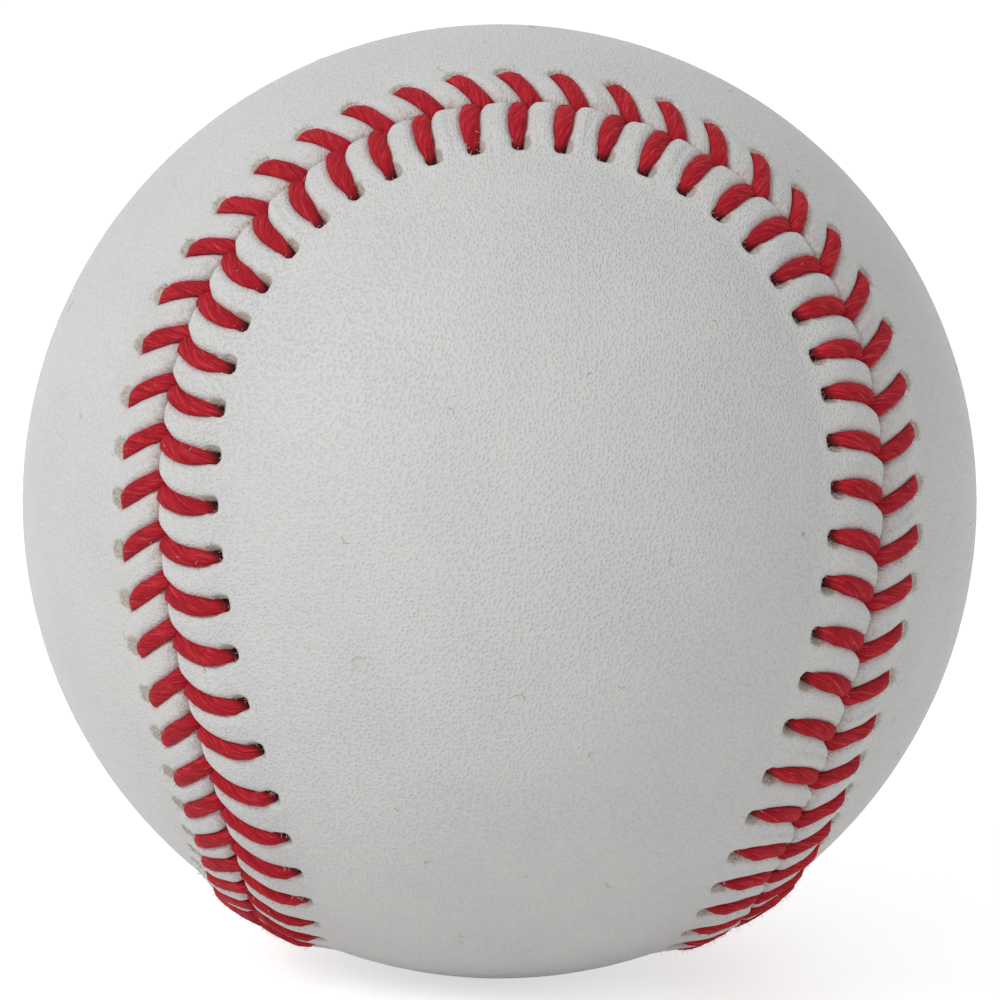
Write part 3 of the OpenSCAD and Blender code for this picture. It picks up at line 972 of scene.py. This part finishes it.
yarnLooks = {
    "greyWool": {"colour": (0.5, 0.48, 0.45, 1), "shade": (0.16, 0.15, 0.15, 1),
                 "fleck": (0.12, 0.16, 0.3, 1),
                 "yarn": {"Yarn Width": 1.35, "Ply Length": 2.6, "Band Width": 5.0}},
    "whiteWool": {"colour": (0.82, 0.78, 0.69, 1), "shade": (0.38, 0.34, 0.28, 1),
                  "fleck": (0.5, 0.42, 0.3, 1),
                  "yarn": {"Yarn Width": 1.1, "Ply Length": 2.2, "Band Width": 4.4}},
    "cottonYarn": {"colour": (0.86, 0.84, 0.77, 1), "shade": (0.45, 0.42, 0.36, 1),
                   "fleck": (0.7, 0.64, 0.52, 1),
                   "yarn": {"Yarn Width": 0.62, "Ply Length": 1.3, "Band Width": 3.4}},
}
yarnFinish = {"Roughness": 0.9, "Specular IOR Level": 0.15, "Sheen Weight": 0.2}
yarnFlecks = {"Spacing": 1.3, "Size": 0.26, "Share": 0.3}
yarnDepth = 0.45  # as a share of the yarn's width


def yarnMaterial(name):
    material, tree = newMaterial(name)
    look = yarnLooks[name]
    yarn = useGroup(tree, "yarn", look["yarn"])
    flecks = useGroup(tree, "specks", yarnFlecks)
    # painted shade between the strands and plies, with each strand's own dye
    colour = mixColour(yarn["Shade And Dye"], look["shade"], look["colour"])
    colour = mixColour(flecks["Mask"] * 0.6, colour, look["fleck"])
    depth = look["yarn"]["Yarn Width"] * yarnDepth * mm
    finishMaterial(tree, colour, yarnFinish, yarn["Height"], depth)
    return material


rubberLooks = {
    "blackRubber": {"colour": (0.035, 0.035, 0.04, 1), "bloom": (0.12, 0.12, 0.125, 1)},
    "redRubber": {"colour": (0.42, 0.055, 0.04, 1), "bloom": (0.5, 0.2, 0.17, 1)},
}
rubberSkin = {"Grain Size": 0.6, "Draw": 0.0, "Pore And Shade Strength": 0.4}
rubberMotes = {"Spacing": 1.6, "Size": 0.12, "Share": 0.5}
rubberDepth = 0.07 * mm


def rubberMaterial(name):
    # moulded rubber with a dusty bloom, rough from its mould
    material, tree = newMaterial(name)
    look = rubberLooks[name]
    skin = useGroup(tree, "grain", rubberSkin)
    motes = useGroup(tree, "specks", rubberMotes)
    colour = mixColour(ramp(skin["Mottle"], 0.4, 0.65, 0.0, 0.6), look["colour"], look["bloom"])
    colour = mixColour(motes["Mask"] * 0.7, colour, look["bloom"])
    finish = {"Roughness": ramp(skin["Mottle"], 0.35, 0.65, 0.5, 0.75), "Specular IOR Level": 0.35}
    finishMaterial(tree, colour, finish, skin["Height"], rubberDepth)
    return material


corkLook = {
    "pale": (0.62, 0.43, 0.26, 1),
    "brown": (0.3, 0.17, 0.09, 1),
    "rubberCrumb": (0.05, 0.045, 0.045, 1),
    "granule": 1.5,  # millimetres across
    "crumbShare": 0.24,
    "depth": 0.25 * mm,
}


def corkMaterial(name):
    # pressed granules of cork, with crumbs of rubber among them
    material, tree = newMaterial(name)
    look = corkLook
    place = objectPlace(tree)
    bent = vectorCalc("ADD", place, scaled(noise(place, 0.9, 2.0, output=1), 0.9))
    away, chances = cells(bent, 1 / look["granule"])
    grain = noise(bent, 3.5, 4.0)
    shade = calc("MULTIPLY_ADD", chances[1], 0.7, -0.35)
    tone = calc("MULTIPLY_ADD", grain, 0.9, shade, clamp=True)
    colour = mixColour(tone, look["brown"], look["pale"])
    colour = mixColour(calc("LESS_THAN", chances[0], look["crumbShare"]), colour, look["rubberCrumb"])
    joint = ramp(away, 0.45, 0.75)
    colour = mixColour(joint * 0.6, colour, look["brown"])
    height = calc("MULTIPLY_ADD", grain, 0.4, joint * -1.0)
    finish = {"Roughness": ramp(tone, 0.0, 1.0, 0.65, 0.9), "Specular IOR Level": 0.2}
    finishMaterial(tree, colour, finish, height, look["depth"])
    return material


blackRubber, redRubber = rubberMaterial("blackRubber"), rubberMaterial("redRubber")
greyWool = yarnMaterial("greyWool")
fillingMaterials = {
    "cork_core": corkMaterial("pressedCork"),
    "rubber_shell_upper": blackRubber,
    "rubber_shell_lower": blackRubber,
    "rubber_washer": redRubber,
    "rubber_jacket": redRubber,
    "wool_winding_first": greyWool,
    "wool_winding_second": yarnMaterial("whiteWool"),
    "wool_winding_third": greyWool,
    "cotton_winding": yarnMaterial("cottonYarn"),
}


def dressNode(node, material):
    # the CAD node keeps its shape and gets a better material
    if not node.material_slots:
        node.data.materials.append(material)
    for slot in node.material_slots:
        slot.material = material


# Building the pieces

leather = leatherMaterial()
reliefTree = leatherTree()
legRows = []
for which in ("lower", "upper"):
    row = stitching[which]
    table = stitchTable(row)
    legRows.append((row, table))
    values = {**leatherRelief[which], **leatherRelief["both"], "Material": leather}
    panel = grow(panelBase("panelBase", row, table), reliefTree, values, "leather_panel_" + which)
    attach(panel, "root")
    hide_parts("cover_panel_" + which)

threadValues = {**waxedThread, "Material": threadMaterial()}
stitches = grow(threadBase("threadBase", legRows), threadTree(), threadValues, "stitched_thread")
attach(stitches, "root")
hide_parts("seam_thread")

looseLooks = {name: looseMaterial(name) for name in fibreLooks}
fibreTrees = {False: fibreTree("threadFibres", False), True: fibreTree("holeFibres", True)}
for name, row in looseFibres.items():
    base = addObject("fibreBase", bpy.data.objects[row["from"]].data.copy())
    fibres = grow(base, fibreTrees["hole" in name], {**row, "Material": looseLooks[row["look"]]}, name)
    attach(fibres, "root")

for node, material in fillingMaterials.items():
    dressNode(frame["nodes"][node], material)
print("the filling is dressed")


# Camera, lamps, floor and backdrop

view = {
    "pitch": math.radians(9.38),
    "yaw": math.radians(-3.73),
    "roll": math.radians(1.41),
    "distance": 14 * ballRadius,
    "lens": 239.9,
    "shift": (0.0004, 0.0013),
}


def setCamera():
    data = bpy.data.cameras.new("camera")
    data.lens = view["lens"]
    data.sensor_width = 36
    data.shift_x, data.shift_y = view["shift"]
    data.clip_start = 0.01
    camera = addObject("camera", data)
    turn = Matrix.Rotation(view["yaw"], 4, "Z") @ Matrix.Rotation(math.pi / 2 - view["pitch"], 4, "X")
    turn = turn @ Matrix.Rotation(view["roll"], 4, "Z")
    camera.matrix_world = Matrix.Translation(turn.col[2].xyz * view["distance"]) @ turn
    bpy.context.scene.camera = camera


lighting = {
    "world": 0.475,
    "key": {"power": 5.4, "size": 0.5, "place": (-0.8, -0.6, 0.7)},
    "fill": {"power": 0.3, "size": 0.4, "place": (0.45, -1.0, 0.12)},
    "floor": (0.92, 0.92, 0.92, 1),
    "floorGlow": 0.6,
    "floorSize": 4.0,
}


def addLamp(name, power, size, place):
    data = bpy.data.lights.new(name, "AREA")
    data.energy = power
    data.size = size
    back = unit(np.array(place))
    side = unit(np.cross([0, 0, 1], back))
    turn = Matrix(np.column_stack([side, np.cross(back, side), back]).tolist()).to_4x4()
    addObject(name, data).matrix_world = Matrix.Translation(place) @ turn


def cameraWhite(tree):
    # 1 where the camera, a reflection or glass sees the surface itself
    camera, glossy, glass = (put(tree, "LightPath", output="Is " + ray + " Ray")
                             for ray in ("Camera", "Glossy", "Transmission"))
    return calc("MAXIMUM", calc("MAXIMUM", camera, glossy), glass)


def setWorld():
    world = bpy.data.worlds.new("studio")
    world.use_nodes = True
    bpy.context.scene.world = world
    background = world.node_tree.nodes["Background"].inputs
    feed(background["Color"], (1, 1, 1, 1))
    strength = ramp(cameraWhite(world.node_tree), 0, 1, lighting["world"], 1.0, smooth=False)
    feed(background["Strength"], strength)


def makeFloor():
    material, tree = newMaterial("paleFloor")
    glow = cameraWhite(tree) * lighting["floorGlow"]
    finishMaterial(tree, lighting["floor"], {"Roughness": 0.9, "Specular IOR Level": 0.0,
                   "Emission Color": (1, 1, 1, 1), "Emission Strength": glow})
    mesh = bpy.data.meshes.new("floor")
    corners = [(x * lighting["floorSize"], y * lighting["floorSize"], -ballRadius)
               for x, y in ((-1, -1), (1, -1), (1, 1), (-1, 1))]
    mesh.from_pydata(corners, [], [(0, 1, 2, 3)])
    mesh.materials.append(material)
    floor = addObject("floor", mesh)


setCamera()
setWorld()
makeFloor()
addLamp("key", **lighting["key"])
addLamp("fill", **lighting["fill"])
bpy.context.scene.view_settings.view_transform = "Standard"
print("camera, lamps and floor are set")
